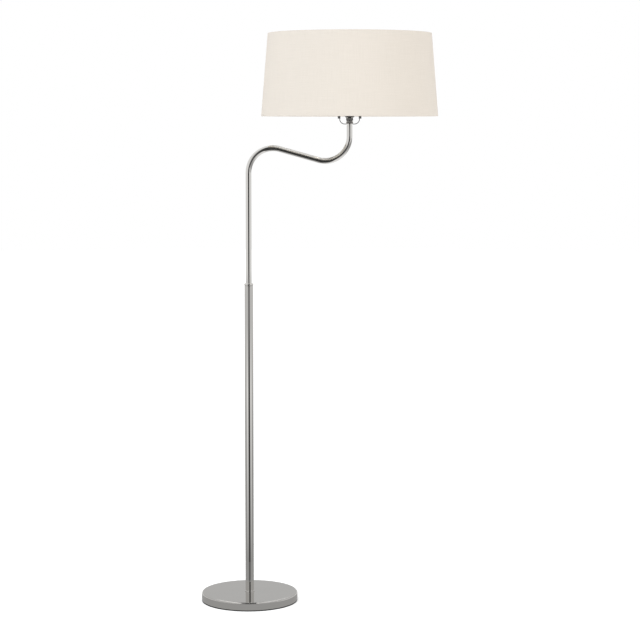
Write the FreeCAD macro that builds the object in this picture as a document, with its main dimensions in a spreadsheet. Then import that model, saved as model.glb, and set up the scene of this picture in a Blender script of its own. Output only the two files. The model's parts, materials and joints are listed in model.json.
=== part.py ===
"""Adjustable arm floor lamp: weighted round base, telescoping column, crooked swivel arm,
harp and drum shade.  Millimetres, +Z up, origin on the column axis at the floor, arm along +X."""
import FreeCAD, Part
import math
import os
import re
import Sketcher

document = FreeCAD.newDocument("floor_lamp")
sheet = document.addObject("Spreadsheet::Sheet", "Sizes")
pieces = []

# Driving dimensions.  Levels are heights above the floor with the arm half way up.
SIZES = (
    # weighted base
    ("base_radius", "125"),
    ("base_height", "22.6"),
    ("base_wall", "1.2"),
    ("rim_round", "3.5"),
    ("pad_radius", "124"),
    ("pad_thickness", "2.4"),
    ("weight_radius", "123.6"),
    ("well_radius", "26"),
    ("well_top", "14"),
    ("channel_width", "12"),
    ("channel_top", "17"),
    ("gland_level", "11"),
    ("gland_radius", "5.5"),
    ("gland_bore", "3.3"),
    ("gland_flange_radius", "7"),
    ("gland_flange_thickness", "2"),
    ("gland_inner_face", "110"),
    # M10 hollow rod that ties the column to the base
    ("rod_radius", "5"),
    ("rod_bore", "3.5"),
    ("rod_bottom", "8.5"),
    ("rod_top", "50"),
    ("washer_radius", "15"),
    ("washer_thickness", "2"),
    ("nut_radius", "9.8"),
    ("nut_height", "3"),
    # column
    ("foot_ring_radius", "12.5"),
    ("foot_ring_round", "1"),
    ("column_bottom", "25.1"),
    ("column_top", "825"),
    ("column_radius", "11.1"),
    ("column_bore", "9.6"),
    ("foot_plug_top", "62"),
    ("sleeve_top", "112.6"),
    ("sleeve_radius", "9.3"),
    ("sleeve_bore", "6.6"),
    ("collar_radius", "11.8"),
    ("collar_top", "831.6"),
    ("collar_round", "2.8"),
    ("bush_bottom", "802.5"),
    ("slide_gap", "0.05"),
    # arm: one tube bent twice
    ("arm_radius", "7.5"),
    ("arm_wall", "1.2"),
    ("arm_bottom", "438"),
    ("first_bend", "1117"),
    ("bend_radius", "63"),
    ("arm_slope", "15.7"),
    ("arm_reach", "260"),
    ("arm_top", "1238.5"),
    # friction plug and the spigot that carries it
    ("spigot_top", "462"),
    ("spigot_bottom", "393"),
    ("spigot_flange", "1.7"),
    ("journal_radius", "6"),
    ("spigot_bore", "3.6"),
    ("plug_top", "436"),
    ("plug_bottom", "396"),
    ("plug_slot", "2"),
    ("plug_slot_height", "26"),
    ("spring_bottom", "402"),
    ("spring_top", "412"),
    ("spring_radius", "7.8"),
    ("spring_wall", "0.7"),
    ("clip_bottom", "394.4"),
    ("clip_thickness", "1.1"),
    ("clip_bore", "5.3"),
    ("clip_radius", "8.4"),
    ("clip_mouth", "7.4"),
    ("stop_ring_top", "652.2"),
    ("stop_ring_height", "8"),
    ("stop_ring_radius", "9.3"),
    # lead inside the arm
    ("lead_radius", "2.5"),
    ("lead_top", "1264"),
    ("connector_top", "388"),
    ("connector_length", "24"),
    ("connector_radius", "5.8"),
    # stack at the end of the arm
    ("insert_bottom", "1220"),
    ("neck_ring_radius", "6.75"),
    ("saddle_floor", "1241"),
    ("saddle_thickness", "1.8"),
    ("saddle_width", "9"),
    ("saddle_corner", "13"),
    ("saddle_shoulder", "1255.2"),
    ("tongue_width", "2.4"),
    ("tongue_top", "1265"),
    ("tongue_reach", "25.4"),
    ("neck_radius", "9"),
    ("neck_waist", "7"),
    ("neck_groove_level", "1248.6"),
    ("neck_groove_height", "1.2"),
    ("neck_round", "1.9"),
    ("cap_bottom", "1257.5"),
    ("nipple_top", "1263"),
    # ferrules that lock the harp on the saddle
    ("ferrule_reach", "27"),
    ("ferrule_radius", "3.4"),
    ("ferrule_bore", "2.8"),
    ("ferrule_bottom", "1255.6"),
    ("ferrule_top", "1265.6"),
    # harp wire
    ("harp_wire", "1.5"),
    ("harp_leg", "27.85"),
    ("harp_bottom", "1256.4"),
    ("harp_leg_top", "1280"),
    ("harp_flare", "60"),
    ("harp_side", "160"),
    ("harp_belly", "55"),
    ("harp_top", "1444"),
    ("shoulder_turn", "10"),
    ("stud_flange_radius", "7"),
    ("stud_flange_top", "1448"),
    ("stud_radius", "3.175"),
    ("stud_top", "1461"),
    ("finial_bottom", "1450"),
    ("finial_top", "1468"),
    ("finial_radius", "7"),
    ("finial_neck", "4.6"),
    ("finial_rim", "2"),
    ("finial_waist", "1456.3"),
    ("finial_knob", "1459"),
    ("finial_round", "4.9"),
    # lamp holder
    ("cap_wall", "1"),
    ("cap_round", "2"),
    ("cap_hub_radius", "9.3"),
    ("cap_hub_top", "1261"),
    ("cap_radius", "17"),
    ("cap_flare_radius", "13.5"),
    ("cap_flare_level", "1261.6"),
    ("cap_shoulder", "1267"),
    ("cap_top", "1280"),
    ("set_screw_radius", "1.5"),
    ("interior_radius", "14.5"),
    ("interior_bottom", "1277"),
    ("interior_top", "1296"),
    ("recess_reach", "8.5"),
    ("recess_width", "8"),
    ("recess_top", "1291"),
    ("terminal_level", "1286"),
    ("terminal_head", "3"),
    ("terminal_shank", "1.5"),
    ("terminal_head_length", "2"),
    ("wire_radius", "0.9"),
    ("wire_lead", "1"),
    ("wire_bend", "6"),
    ("wire_start", "1.3"),
    ("wire_reach", "9.45"),
    ("wire_bottom", "1264.2"),
    ("wire_turn", "60"),
    ("liner_radius", "15.3"),
    ("liner_bottom", "1276"),
    ("liner_top", "1320"),
    ("shell_radius", "16"),
    ("shell_bottom", "1274"),
    ("shell_top", "1319"),
    ("screw_radius", "13.9"),
    ("screw_bore", "13.3"),
    ("screw_bottom", "1296"),
    ("screw_top", "1318"),
    ("screw_hole", "5.5"),
    ("sheet_brass", "0.6"),
    ("contact_radius", "4.5"),
    ("contact_top", "1298"),
    # rotary switch
    ("switch_level", "1288"),
    ("stem_radius", "1.6"),
    ("stem_inner_end", "5"),
    ("stem_outer_end", "34"),
    ("stem_hole", "2.4"),
    ("knob_inner_face", "25"),
    ("knob_length", "12"),
    ("knob_radius", "4.6"),
    ("knob_flat_length", "8.4"),
    # bulb
    ("tip_radius", "4.5"),
    ("bulb_cap_bottom", "1300"),
    ("bulb_cap_top", "1325"),
    ("bulb_cap_radius", "13.2"),
    ("bulb_cap_slant", "3"),
    ("bulb_cap_rim", "2"),
    ("bulb_centre", "1376"),
    ("bulb_radius", "30"),
    ("bulb_glass_wall", "1"),
    ("bulb_taper", "30"),
    ("bulb_neck", "12.8"),
    ("bulb_glass_bottom", "1323"),
    # shade
    ("shade_bottom", "1262"),
    ("shade_top", "1473"),
    ("shade_bottom_radius", "227"),
    ("shade_top_radius", "210"),
    ("fabric_thickness", "0.8"),
    ("liner_thickness", "0.6"),
    ("ring_wire", "1.6"),
    ("ring_inset", "3.2"),
    ("ring_drop", "2"),
    ("spoke_wire", "1.5"),
    ("spoke_start", "8"),
    ("spoke_level", "1449"),
    ("spoke_bend", "15"),
    ("spoke_rise", "60"),
    ("hub_radius", "9.5"),
    ("hub_bore", "3.25"),
    ("hub_thickness", "1.8"),
)


def bound(text):
    """Expression on the sheet: every name with an underscore is one of its aliases."""
    return re.sub(r"[a-z]+(?:_[a-z]+)+", r"Sizes.\g<0>", text)


def value(text):
    """Number that an expression gives with the sheet's present sizes."""
    result = sheet.evalExpression(bound(text))
    return float(getattr(result, "Value", result))


def fill_sheet():
    """Write the driving dimensions, one named cell each."""
    for row, (alias, number) in enumerate(SIZES, 1):
        sheet.set("A%d" % row, alias)
        sheet.set("B%d" % row, number)
        sheet.setAlias("B%d" % row, alias)
    document.recompute()


def keep(piece, label):
    """Name a finished sub-part and list it for writing."""
    piece.Label = label
    pieces.append(piece)
    return piece


def on_arm_axis(thing, offset="0"):
    """Stand a piece on the vertical axis at the end of the arm."""
    thing.setExpression("Placement.Base.x", bound("arm_reach + " + offset))
    return thing


# ---- sketches -------------------------------------------------------------------------

def origin_item(body, role):
    """Plane or axis of a body's own origin."""
    return next(item for item in body.Origin.OriginFeatures if item.Role == role)


def flat_sketch(body, name, role, level=None):
    """Empty sketch on one of the body's origin planes, lifted to a level if one is given."""
    sketch = body.newObject("Sketcher::SketchObject", name)
    sketch.AttachmentSupport = [(origin_item(body, role), "")]
    sketch.MapMode = "FlatFace"
    if level is not None:
        sketch.setExpression(".AttachmentOffset.Base.z", bound(level))
    return sketch


def dimension(sketch, kind, where, text):
    """Add one dimension and bind it to the sheet."""
    number = value(text)
    if kind == "Angle":
        number = math.radians(number)
    index = sketch.addConstraint(Sketcher.Constraint(kind, *where, number))
    unit = " * 1deg" if kind == "Angle" else ""
    sketch.setExpression("Constraints[%d]" % index, "(" + bound(text) + ")" + unit)


def pin_point(sketch, line, end, across, up):
    """Fix one end of a line by its two coordinates."""
    for kind, axis, text in (("DistanceX", -2, across), ("DistanceY", -1, up)):
        if text == "0":
            sketch.addConstraint(Sketcher.Constraint("PointOnObject", line, end, axis))
        else:
            dimension(sketch, kind, (-1, 1, line, end), text)


def polygon(sketch, corners):
    """Closed outline of straight edges with every corner bound to the sheet."""
    points = [FreeCAD.Vector(value(across), value(up), 0) for across, up in corners]
    count = len(points)
    for index, point in enumerate(points):
        sketch.addGeometry(Part.LineSegment(point, points[(index + 1) % count]), False)
    for index in range(count):
        sketch.addConstraint(Sketcher.Constraint("Coincident", index, 2, (index + 1) % count, 1))
    for index, (across, up) in enumerate(corners):
        pin_point(sketch, index, 1, across, up)


def tangent_path(sketch, start, heading, moves):
    """Straight runs and tangent arcs, drawn in order from a start point.

    A move is ("run", length) or ("left" or "right", radius, degrees turned)."""
    place = FreeCAD.Vector(value(start[0]), value(start[1]), 0)
    angle = math.radians(heading)
    last = None
    for kind, *numbers in moves:
        forward = FreeCAD.Vector(math.cos(angle), math.sin(angle), 0)
        if kind == "run":
            ahead = place + forward * value(numbers[0])
            edge = sketch.addGeometry(Part.LineSegment(place, ahead), False)
            first, final = 1, 2
            dimension(sketch, "Distance", (edge,), numbers[0])
        else:
            side = 1 if kind == "left" else -1
            radius = value(numbers[0])
            turn = math.radians(value(numbers[1]))
            centre = place + FreeCAD.Vector(-forward.y, forward.x, 0) * (side * radius)
            begin = math.atan2(place.y - centre.y, place.x - centre.x)
            end = begin + side * turn
            circle = Part.Circle(centre, FreeCAD.Vector(0, 0, 1), radius)
            arc = Part.ArcOfCircle(circle, min(begin, end), max(begin, end))
            edge = sketch.addGeometry(arc, False)
            first, final = (1, 2) if side > 0 else (2, 1)
            dimension(sketch, "Radius", (edge,), numbers[0])
            dimension(sketch, "Angle", (edge,), numbers[1])
            ahead = centre + FreeCAD.Vector(math.cos(end), math.sin(end), 0) * radius
            angle += side * turn
        if last is None:
            pin_point(sketch, edge, first, start[0], start[1])
            upright = abs(forward.x) < 1e-6
            sketch.addConstraint(Sketcher.Constraint("Vertical" if upright else "Horizontal", edge))
        else:
            sketch.addConstraint(Sketcher.Constraint("Tangent", last[0], last[1], edge, first))
        last = (edge, final)
        place = ahead


def round_outline(sketch, radii, across="0"):
    """One circle, or two for a hollow section, about a point on the sketch's X axis."""
    for index, radius in enumerate(radii):
        centre = FreeCAD.Vector(value(across), 0, 0)
        sketch.addGeometry(Part.Circle(centre, FreeCAD.Vector(0, 0, 1), value(radius)), False)
        pin_point(sketch, index, 3, across, "0")
        dimension(sketch, "Radius", (index,), radius)


# ---- ways of making a piece -----------------------------------------------------------

def turned(name, corners):
    """Body turned about the vertical axis from an outline of (radius, level) corners."""
    body = document.addObject("PartDesign::Body", name)
    sketch = flat_sketch(body, name + "_outline", "XZ_Plane")
    polygon(sketch, corners)
    revolution = body.newObject("PartDesign::Revolution", name + "_turning")
    revolution.Profile = sketch
    revolution.ReferenceAxis = (sketch, ["V_Axis"])
    revolution.Angle = 360
    document.recompute()
    return body


def ring(name, inner, outer, bottom, top):
    """Plain round ring, sleeve or tube."""
    return turned(name, ((inner, bottom), (outer, bottom), (outer, top), (inner, top)))


def piped(name, section, start, heading, moves):
    """Body swept along a tangent path in the XZ plane; section draws its cross-section."""
    body = document.addObject("PartDesign::Body", name)
    path = flat_sketch(body, name + "_path", "XZ_Plane")
    tangent_path(path, start, heading, moves)
    upright = abs(math.cos(math.radians(heading))) < 1e-6
    plane, lift = ("XY_Plane", start[1]) if upright else ("YZ_Plane", start[0])
    profile = flat_sketch(body, name + "_section", plane, lift)
    section(profile)
    sweep = body.newObject("PartDesign::AdditivePipe", name + "_sweep")
    sweep.Profile = profile
    sweep.Spine = (path, [])
    document.recompute()
    return body


def ring_edges(shape, radius, level):
    """Names of the circular edges of a radius at a level."""
    names = []
    for number, edge in enumerate(shape.Edges, 1):
        curve = edge.Curve
        if not isinstance(curve, Part.Circle):
            continue
        if abs(curve.Radius - radius) < 0.01 and abs(curve.Center.z - level) < 0.01:
            names.append("Edge%d" % number)
    return names


def eased(body, kind, size, rings):
    """Fillet or chamfer the circular edges given as (radius, level)."""
    base = body.Tip
    names = []
    for radius, level in rings:
        names += ring_edges(base.Shape, value(radius), value(level))
    feature = body.newObject("PartDesign::" + kind, body.Name + "_" + kind.lower())
    feature.Base = (base, names)
    feature.setExpression("Radius" if kind == "Fillet" else "Size", bound(size))
    document.recompute()
    return body


def block(name, corner, lengths):
    """Box from its lowest corner and three lengths."""
    box = document.addObject("Part::Box", name)
    for prop, text in zip(("Length", "Width", "Height"), lengths):
        box.setExpression(prop, bound(text))
    for axis, text in zip("xyz", corner):
        box.setExpression("Placement.Base." + axis, bound(text))
    return box


def pin(name, radius, length, start, direction):
    """Straight round pin from a start point along a direction."""
    cylinder = document.addObject("Part::Cylinder", name)
    cylinder.setExpression("Radius", bound(radius))
    cylinder.setExpression("Height", bound(length))
    turn = FreeCAD.Rotation(FreeCAD.Vector(0, 0, 1), FreeCAD.Vector(*direction))
    cylinder.Placement = FreeCAD.Placement(FreeCAD.Vector(0, 0, 0), turn)
    for axis, text in zip("xyz", start):
        cylinder.setExpression("Placement.Base." + axis, bound(text))
    return cylinder


def cut(name, base, tools):
    """Piece with one or more tools taken away."""
    base.Label = name + "_blank"
    result = base
    for index, tool in enumerate(tools, 1):
        step = document.addObject("Part::Cut", "%s_cut_%d" % (name, index))
        step.Base = result
        step.Tool = tool
        result = step
    document.recompute()
    return result


def joined(name, shapes):
    """Several solids made one piece, or one group of separate solids."""
    fuse = document.addObject("Part::MultiFuse", name + "_union")
    fuse.Shapes = shapes
    document.recompute()
    return fuse


# ---- weighted base --------------------------------------------------------------------

def base_cover():
    inside = "base_radius - base_wall"
    ceiling = "base_height - base_wall"
    shell = turned("base_cover", (
        ("rod_radius", ceiling), (inside, ceiling), (inside, "pad_thickness"),
        ("base_radius", "pad_thickness"), ("base_radius", "base_height"),
        ("rod_radius", "base_height")))
    eased(shell, "Fillet", "rim_round", (("base_radius", "base_height"),))
    eased(shell, "Fillet", "rim_round - base_wall", ((inside, ceiling),))
    hole = pin("gland_hole", "gland_radius", "base_radius", ("0", "gland_inner_face", "gland_level"),
               (0, 1, 0))
    keep(cut("base_cover", shell, [hole]), "base_cover")


def base_weight():
    ceiling = "base_height - base_wall"
    disc = turned("base_weight", (
        ("rod_radius", "well_top"), ("well_radius", "well_top"), ("well_radius", "pad_thickness"),
        ("weight_radius - rim_round", "pad_thickness"), ("weight_radius", "pad_thickness + rim_round"),
        ("weight_radius", ceiling + " - rim_round"), ("weight_radius - rim_round", ceiling),
        ("rod_radius", ceiling)))
    channel = block("cord_channel", ("-channel_width / 2", "0", "0"),
                    ("channel_width", "base_radius", "channel_top"))
    keep(cut("base_weight", disc, [channel]), "base_weight")


def base_pad():
    keep(ring("base_pad", "0", "pad_radius", "0", "pad_thickness"), "base_pad")


def cord_gland():
    sleeve = pin("gland_sleeve", "gland_radius", "base_radius - gland_inner_face",
                 ("0", "gland_inner_face", "gland_level"), (0, 1, 0))
    flange = pin("gland_flange", "gland_flange_radius", "gland_flange_thickness",
                 ("0", "base_radius", "gland_level"), (0, 1, 0))
    bore = pin("gland_bore_tool", "gland_bore", "base_radius", ("0", "gland_inner_face - 1", "gland_level"),
               (0, 1, 0))
    keep(cut("cord_gland", joined("gland", [sleeve, flange]), [bore]), "cord_gland")


def base_fastening():
    keep(ring("base_rod", "rod_bore", "rod_radius", "rod_bottom", "rod_top"), "base_rod")
    keep(ring("base_washer", "rod_radius", "washer_radius", "well_top - washer_thickness", "well_top"),
         "base_washer")
    nut = document.addObject("Part::Prism", "nut_blank")
    nut.Polygon = 6
    nut.setExpression("Circumradius", bound("nut_radius"))
    nut.setExpression("Height", bound("nut_height"))
    nut.setExpression("Placement.Base.z", bound("well_top - washer_thickness - nut_height"))
    bore = pin("nut_bore", "rod_radius", "base_height", ("0", "0", "0"), (0, 0, 1))
    keep(cut("base_nut", nut, [bore]), "base_nut")


# ---- column ---------------------------------------------------------------------------

def column():
    foot = ring("foot_ring", "rod_radius", "foot_ring_radius", "base_height", "column_bottom")
    keep(eased(foot, "Fillet", "foot_ring_round", (("foot_ring_radius", "column_bottom"),)), "foot_ring")
    keep(ring("foot_plug", "rod_radius", "column_bore", "column_bottom", "foot_plug_top"), "foot_plug")
    keep(ring("column_tube", "column_bore", "column_radius", "column_bottom", "column_top"), "column_tube")
    keep(ring("stop_sleeve", "sleeve_bore", "sleeve_radius", "foot_plug_top", "sleeve_top"), "stop_sleeve")
    keep(ring("guide_bush", "arm_radius + slide_gap", "column_bore", "bush_bottom", "column_top"),
         "guide_bush")
    collar = ring("column_collar", "arm_radius + slide_gap", "collar_radius", "column_top", "collar_top")
    rims = (("collar_radius", "column_top"), ("collar_radius", "collar_top"))
    keep(eased(collar, "Fillet", "collar_round", rims), "column_collar")


def friction_plug():
    """Split nylon plug that rubs on the column and stays put while the arm swivels on its spigot."""
    outside = "column_bore - slide_gap"
    inside = "journal_radius + slide_gap"
    sleeve = turned("friction_plug", (
        (inside, "plug_bottom"), (outside, "plug_bottom"), (outside, "plug_top"), (inside, "plug_top"),
        (inside, "spring_top"), ("spring_radius", "spring_top"), ("spring_radius", "spring_bottom"),
        (inside, "spring_bottom")))
    slots = [
        block("plug_slot_along", ("-column_radius", "-plug_slot / 2", "plug_bottom"),
              ("2 * column_radius", "plug_slot", "plug_slot_height")),
        block("plug_slot_across", ("-plug_slot / 2", "-column_radius", "plug_bottom"),
              ("plug_slot", "2 * column_radius", "plug_slot_height")),
    ]
    keep(cut("friction_plug", sleeve, slots), "friction_plug")
    band = ring("plug_spring", "spring_radius - spring_wall", "spring_radius", "spring_bottom", "spring_top")
    mouth = block("spring_mouth", ("0", "-plug_slot", "spring_bottom"),
                  ("column_radius", "2 * plug_slot", "spring_top - spring_bottom"))
    keep(cut("plug_spring", band, [mouth]), "plug_spring")


# ---- arm ------------------------------------------------------------------------------

def arm_path(bottom, top):
    """Moves of the arm's centre line from a level in the column to a level under the shade."""
    turn = "90 + arm_slope"
    slope = "(arm_slope * 1deg)"
    straight = "(arm_reach - 2 * bend_radius * (1 + sin%s)) / cos%s" % (slope, slope)
    second_bend_end = "first_bend + 2 * bend_radius * cos%s - %s * sin%s" % (slope, straight, slope)
    return (
        ("run", "first_bend - " + bottom),
        ("right", "bend_radius", turn),
        ("run", straight),
        ("left", "bend_radius", turn),
        ("run", "%s - (%s)" % (top, second_bend_end)),
    )


def arm():
    keep(piped("arm_tube", lambda sketch: round_outline(sketch, ("arm_radius", "arm_radius - arm_wall")),
               ("0", "arm_bottom"), 90, arm_path("arm_bottom", "arm_top")), "arm_tube")
    keep(piped("arm_lead", lambda sketch: round_outline(sketch, ("lead_radius",)),
               ("0", "connector_top"), 90, arm_path("connector_top", "lead_top")), "arm_lead")
    keep(ring("lead_connector", "0", "connector_radius", "connector_top - connector_length",
              "connector_top"), "lead_connector")
    keep(ring("stop_ring", "arm_radius", "stop_ring_radius", "stop_ring_top - stop_ring_height",
              "stop_ring_top"), "stop_ring")


def spigot():
    tube_inside = "arm_radius - arm_wall"
    shoulder = "arm_bottom - spigot_flange"
    clip_top = "clip_bottom + clip_thickness"
    keep(turned("spigot", (
        ("spigot_bore", "spigot_bottom"), ("journal_radius", "spigot_bottom"),
        ("journal_radius", "clip_bottom"), ("clip_bore", "clip_bottom"), ("clip_bore", clip_top),
        ("journal_radius", clip_top), ("journal_radius", shoulder), ("arm_radius", shoulder),
        ("arm_radius", "arm_bottom"), (tube_inside, "arm_bottom"), (tube_inside, "spigot_top"),
        ("spigot_bore", "spigot_top"))), "spigot")
    clip = ring("spigot_clip", "clip_bore", "clip_radius", "clip_bottom", clip_top)
    mouth = block("clip_mouth_tool", ("0", "-clip_mouth / 2", "clip_bottom"),
                  ("column_radius", "clip_mouth", "clip_thickness"))
    keep(cut("spigot_clip", clip, [mouth]), "spigot_clip")


def arm_end():
    """Threaded insert, rings and nipple that stack up between the arm and the lamp holder."""
    floor_top = "saddle_floor + saddle_thickness"
    groove_top = "neck_groove_level + neck_groove_height"
    insert = ring("tube_insert", "rod_radius", "arm_radius - arm_wall", "insert_bottom", "arm_top")
    keep(on_arm_axis(insert), "tube_insert")
    neck_ring = ring("neck_ring", "rod_radius", "neck_ring_radius", "arm_top", "saddle_floor")
    keep(on_arm_axis(neck_ring), "neck_ring")
    neck = turned("turned_neck", (
        ("rod_radius", floor_top), ("neck_radius", floor_top), ("neck_radius", "neck_groove_level"),
        ("neck_waist", "neck_groove_level"), ("neck_waist", groove_top), ("neck_radius", groove_top),
        ("neck_radius", "cap_bottom"), ("rod_radius", "cap_bottom")))
    eased(neck, "Fillet", "neck_round", (
        ("neck_radius", floor_top), ("neck_radius", "neck_groove_level"),
        ("neck_radius", groove_top), ("neck_radius", "cap_bottom")))
    keep(on_arm_axis(neck), "turned_neck")
    nipple = ring("neck_nipple", "rod_bore", "rod_radius", "insert_bottom", "nipple_top")
    keep(on_arm_axis(nipple), "neck_nipple")


# ---- harp -----------------------------------------------------------------------------

def harp_saddle():
    half = "saddle_thickness / 2"
    middle = "saddle_floor + " + half
    drop = "saddle_shoulder - saddle_corner - (%s)" % middle

    def strip(sketch):
        near, far = "-tongue_reach - " + half, "-tongue_reach + " + half
        polygon(sketch, ((near, "-saddle_width / 2"), (far, "-saddle_width / 2"),
                         (far, "saddle_width / 2"), (near, "saddle_width / 2")))

    bar = piped("saddle_strip", strip, ("-tongue_reach", "saddle_shoulder"), 270, (
        ("run", drop), ("left", "saddle_corner", "90"),
        ("run", "2 * (tongue_reach - saddle_corner)"),
        ("left", "saddle_corner", "90"), ("run", drop)))
    on_arm_axis(bar)
    tongues = [
        block("tongue_" + name, ("arm_reach %s - %s" % (place, half), "-tongue_width / 2", "saddle_shoulder"),
              ("saddle_thickness", "tongue_width", "tongue_top - saddle_shoulder"))
        for name, place in (("left", "- tongue_reach"), ("right", "+ tongue_reach"))]
    eye = pin("saddle_eye", "neck_radius", "saddle_thickness", ("arm_reach", "0", "saddle_floor"), (0, 0, 1))
    bore = pin("saddle_bore", "rod_radius", "2 * saddle_corner", ("arm_reach", "0", "arm_top"), (0, 0, 1))
    keep(cut("harp_saddle", joined("saddle", [bar, eye] + tongues), [bore]), "harp_saddle")


def harp():
    turn_out = "acos(1 - (harp_belly - harp_leg) / (harp_flare + harp_side))"
    turn_in = "(shoulder_turn * 1deg)"
    belly_level = "(harp_leg_top + (harp_flare + harp_side) * sin(%s))" % turn_out
    shoulder = "((harp_top - %s - harp_side * sin%s) / (1 - sin%s))" % (belly_level, turn_in, turn_in)
    flat = "(harp_belly - harp_side * (1 - cos%s) - %s * cos%s)" % (turn_in, shoulder, turn_in)
    out_degrees = turn_out + " / 1deg"
    leg = ("run", "harp_leg_top - harp_bottom")
    sides = (
        (leg, ("left", "harp_flare", out_degrees),
         ("right", "harp_side", out_degrees + " + shoulder_turn"),
         ("right", shoulder, "90 - shoulder_turn")),
        (("right", shoulder, "90 - shoulder_turn"),
         ("right", "harp_side", out_degrees + " + shoulder_turn"),
         ("left", "harp_flare", out_degrees), leg))
    moves = sides[0] + (("run", "2 * " + flat),) + sides[1]
    wire = piped("harp", lambda sketch: round_outline(sketch, ("harp_wire",), "-harp_leg"),
                 ("-harp_leg", "harp_bottom"), 90, moves)
    keep(on_arm_axis(wire), "harp")


def harp_top():
    crown = "harp_top + harp_wire"
    stud = turned("harp_stud", (
        ("0", crown), ("stud_flange_radius", crown), ("stud_flange_radius", "stud_flange_top"),
        ("stud_radius", "stud_flange_top"), ("stud_radius", "stud_top"), ("0", "stud_top")))
    keep(on_arm_axis(stud), "harp_stud")
    finial = turned("finial", (
        ("stud_radius", "finial_bottom"), ("finial_radius", "finial_bottom"),
        ("finial_radius", "finial_bottom + finial_rim"), ("finial_neck", "finial_waist"),
        ("finial_radius", "finial_knob"),
        ("finial_radius", "finial_top"), ("0", "finial_top"), ("0", "stud_top"),
        ("stud_radius", "stud_top")))
    eased(finial, "Fillet", "finial_round", (("finial_radius", "finial_top"),))
    keep(on_arm_axis(finial), "finial")


def ferrules():
    for name, place in (("ferrule_left", "- ferrule_reach"), ("ferrule_right", "ferrule_reach")):
        sleeve = ring(name, "ferrule_bore", "ferrule_radius", "ferrule_bottom", "ferrule_top")
        keep(on_arm_axis(sleeve, place), name)


# ---- lamp holder ----------------------------------------------------------------------

def socket_cap():
    inside = "cap_radius - cap_wall"
    cap = turned("socket_cap", (
        ("rod_radius", "cap_bottom"), ("cap_hub_radius", "cap_bottom"),
        ("cap_flare_radius", "cap_flare_level"), ("cap_radius", "cap_shoulder"), ("cap_radius", "cap_top"),
        (inside, "cap_top"), (inside, "cap_shoulder"),
        ("cap_flare_radius - cap_wall", "cap_flare_level + cap_wall"), ("cap_hub_radius", "cap_hub_top"),
        ("rod_radius", "cap_hub_top")))
    eased(cap, "Fillet", "cap_round", (
        ("cap_flare_radius", "cap_flare_level"), ("cap_radius", "cap_shoulder")))
    on_arm_axis(cap)
    level = "(cap_bottom + cap_hub_top) / 2"
    start = ("arm_reach - rod_radius", "0", level)
    hole = pin("cap_screw_hole", "set_screw_radius", "cap_radius", start, (-1, 0, 0))
    keep(cut("socket_cap", cap, [hole]), "socket_cap")
    screw = pin("cap_screw", "set_screw_radius", "cap_hub_radius - rod_radius", start, (-1, 0, 0))
    keep(screw, "cap_screw")


def terminal_tools(name, radius, length, reach):
    """Pins along X on both sides of the lamp holder at the terminals' level."""
    return [pin(name + side, radius, length,
                ("arm_reach " + sign + " (" + reach + ")", "0", "terminal_level"), (direction, 0, 0))
            for side, sign, direction in (("_left", "-", -1), ("_right", "+", 1))]


def socket_interior():
    body = ring("socket_interior", "0", "interior_radius", "interior_bottom", "interior_top")
    on_arm_axis(body)
    size = ("interior_radius", "recess_width", "recess_top - interior_bottom")
    recesses = [
        block("recess_left", ("arm_reach - recess_reach - interior_radius", "-recess_width / 2",
                              "interior_bottom"), size),
        block("recess_right", ("arm_reach + recess_reach", "-recess_width / 2", "interior_bottom"), size)]
    holes = terminal_tools("terminal_hole", "terminal_shank", "recess_reach", "stem_inner_end")
    stem = pin("stem_bearing", "stem_radius + slide_gap", "interior_radius",
               ("arm_reach", "-stem_inner_end + slide_gap", "switch_level"), (0, -1, 0))
    keep(cut("socket_interior", body, recesses + holes + [stem]), "socket_interior")


def terminals():
    gap = "2 * wire_radius + 2 * slide_gap"
    heads = terminal_tools("terminal_head_pin", "terminal_head", "terminal_head_length",
                           "recess_reach + " + gap)
    shanks = terminal_tools("terminal_shank_pin", "terminal_shank",
                            "recess_reach + %s - stem_inner_end" % gap, "stem_inner_end")
    keep(joined("terminal_screws", heads + shanks), "terminal_screws")
    slope = "(wire_turn * 1deg)"
    slant = "((wire_reach - wire_start - 2 * wire_bend * (1 - cos%s)) / sin%s)" % (slope, slope)
    rise = "(2 * wire_bend * sin%s + %s * cos%s)" % (slope, slant, slope)
    tail = "terminal_level - terminal_shank - wire_bottom - 2 * wire_lead - " + rise
    wires = []
    for name, sign, out, back in (("left", "-", "left", "right"), ("right", "", "right", "left")):
        start = sign + "wire_start"
        wire = piped("wire_" + name, lambda sketch: round_outline(sketch, ("wire_radius",), start),
                     (start, "wire_bottom"), 90, (
                         ("run", "wire_lead"), (out, "wire_bend", "wire_turn"), ("run", slant),
                         (back, "wire_bend", "wire_turn"), ("run", tail)))
        wires.append(on_arm_axis(wire))
    keep(joined("socket_wires", wires), "socket_wires")


def socket_sleeves():
    """Paper liner, outer metal shell, brass screw shell and centre contact."""
    def stem_hole(name):
        return pin(name, "stem_hole", "2 * shell_radius", ("arm_reach", "0", "switch_level"), (0, -1, 0))

    liner = ring("socket_liner", "interior_radius", "liner_radius", "liner_bottom", "liner_top")
    keep(cut("socket_liner", on_arm_axis(liner), [stem_hole("liner_hole")]), "socket_liner")
    shell = ring("socket_shell", "liner_radius", "shell_radius", "shell_bottom", "shell_top")
    keep(cut("socket_shell", on_arm_axis(shell), [stem_hole("shell_hole")]), "socket_shell")
    floor_top = "screw_bottom + sheet_brass"
    screw = turned("screw_shell", (
        ("screw_hole", "screw_bottom"), ("screw_radius", "screw_bottom"), ("screw_radius", "screw_top"),
        ("screw_bore", "screw_top"), ("screw_bore", floor_top), ("screw_hole", floor_top)))
    keep(on_arm_axis(screw), "screw_shell")
    contact = turned("centre_contact", (
        ("0", "screw_bottom"), ("contact_radius", "screw_bottom"), ("contact_radius", floor_top),
        ("contact_radius / 2", "contact_top"), ("0", "contact_top")))
    keep(on_arm_axis(contact), "centre_contact")


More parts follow.
